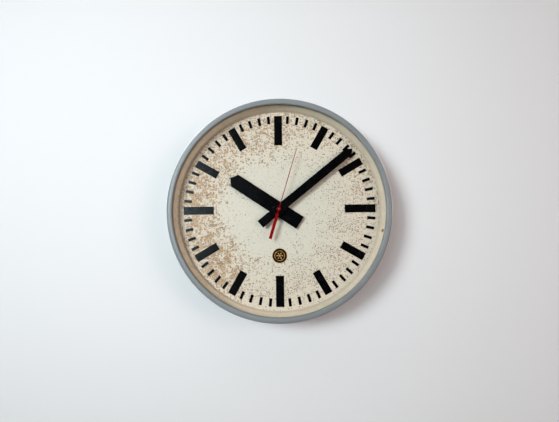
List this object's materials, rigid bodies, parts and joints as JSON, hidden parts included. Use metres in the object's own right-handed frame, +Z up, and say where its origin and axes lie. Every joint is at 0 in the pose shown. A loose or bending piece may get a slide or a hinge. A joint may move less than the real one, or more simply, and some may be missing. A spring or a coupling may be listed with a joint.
{
  "type": "station wall clock",
  "caption": "Round wall clock with a deep rim, recessed cream dial with bar marks, broad black hands, a red sweep second hand and a mains movement behind the dial.",
  "frame": {"origin": "centre of the back face, where the clock's own axis meets the wall", "axes": "+Y into the wall, -Y out of the dial, +Z up to twelve o'clock, +X to three o'clock"},
  "size_m": [0.3999, 0.071, 0.4],
  "materials": {
    "rim_paint": "satin",
    "cover_paint": "satin",
    "glass": "gloss",
    "rubber": "matt",
    "dial_paint": "satin",
    "mark_black": "satin",
    "hand_black": "satin",
    "hand_red": "satin",
    "emblem_brass": "aged",
    "brass": "satin",
    "steel": "satin",
    "zinc_steel": "zinc plated",
    "core_steel": "oxidised",
    "capsule": "satin",
    "bobbin": "moulded",
    "winding": "varnished wire",
    "phenolic": "moulded",
    "lead_sleeve": "cloth sleeve"
  },
  "bodies": {
    "case": {"case_drum": "rim_paint", "front_bezel": "rim_paint", "bezel_screws": "zinc_steel", "bezel_lugs": "zinc_steel", "glass": "glass", "glass_gasket": "rubber", "rear_cover": "cover_paint", "cover_screws": "zinc_steel", "cover_nuts": "zinc_steel", "hanger_plate": "zinc_steel", "hanger_rivets": "zinc_steel", "cable_bush": "rubber", "dial_surround": "dial_paint", "dial_plate": "dial_paint", "dial_brackets": "zinc_steel", "dial_screws": "zinc_steel", "hour_marks": "mark_black", "minute_marks": "mark_black", "dial_emblem": "emblem_brass", "dial_posts": "steel", "post_nuts": "zinc_steel", "front_plate": "brass", "rear_plate": "brass", "plate_pillars": "steel", "pillar_screws": "zinc_steel", "centre_tube": "brass", "arbor_bushes": "brass", "stator_core": "core_steel", "rotor_capsule": "capsule", "motor_spacers": "zinc_steel", "motor_screws": "zinc_steel", "coil_bobbin": "bobbin", "coil_winding": "winding", "terminal_block": "phenolic", "terminal_clamps": "brass", "terminal_screws": "zinc_steel", "motor_leads": "lead_sleeve"},
    "seconds_train": {"seconds_arbor": "steel", "seconds_wheel": "brass", "seconds_pinion": "steel", "second_hand": "hand_red"},
    "motor_rotor": {"motor_shaft": "steel", "motor_pinion": "steel"},
    "third_train": {"third_arbor": "steel", "third_wheel": "brass", "third_pinion": "steel"},
    "minute_train": {"minute_pipe": "brass", "minute_wheel": "brass", "friction_spring": "brass", "cannon_pinion": "brass", "minute_hand": "hand_black", "minute_boss": "hand_black"},
    "setting_train": {"setting_arbor": "steel", "setting_knob": "phenolic", "motion_wheel": "brass", "motion_pinion": "steel"},
    "hour_train": {"hour_pipe": "brass", "hour_wheel": "brass", "hour_hand": "hand_black", "hour_collet": "hand_black"}
  },
  "joints": [
    {"name": "seconds_spin", "type": "hinge", "parent": "case", "child": "seconds_train", "pos_m": [0, 0, 0], "axis": [0, 1, 0], "continuous": true},
    {"name": "motor_spin", "type": "hinge", "parent": "case", "child": "motor_rotor", "pos_m": [-0.0182, 0, 0], "axis": [0, 1, 0], "continuous": true},
    {"name": "third_spin", "type": "hinge", "parent": "case", "child": "third_train", "pos_m": [0.01966, 0, 0.01135], "axis": [0, 1, 0], "continuous": true},
    {"name": "minute_spin", "type": "hinge", "parent": "case", "child": "minute_train", "pos_m": [0, 0, 0], "axis": [0, 1, 0], "continuous": true},
    {"name": "setting_spin", "type": "hinge", "parent": "case", "child": "setting_train", "pos_m": [0.00828, 0, -0.02274], "axis": [0, 1, 0], "continuous": true},
    {"name": "hour_spin", "type": "hinge", "parent": "case", "child": "hour_train", "pos_m": [0, 0, 0], "axis": [0, 1, 0], "continuous": true}
  ],
  "couplings": [
    {"joint": "motor_spin", "follows": "seconds_spin", "ratio": -4},
    {"joint": "third_spin", "follows": "seconds_spin", "ratio": -0.125},
    {"joint": "minute_spin", "follows": "seconds_spin", "ratio": 0.016667},
    {"joint": "setting_spin", "follows": "seconds_spin", "ratio": -0.0055556},
    {"joint": "hour_spin", "follows": "seconds_spin", "ratio": 0.0013889}
  ]
}
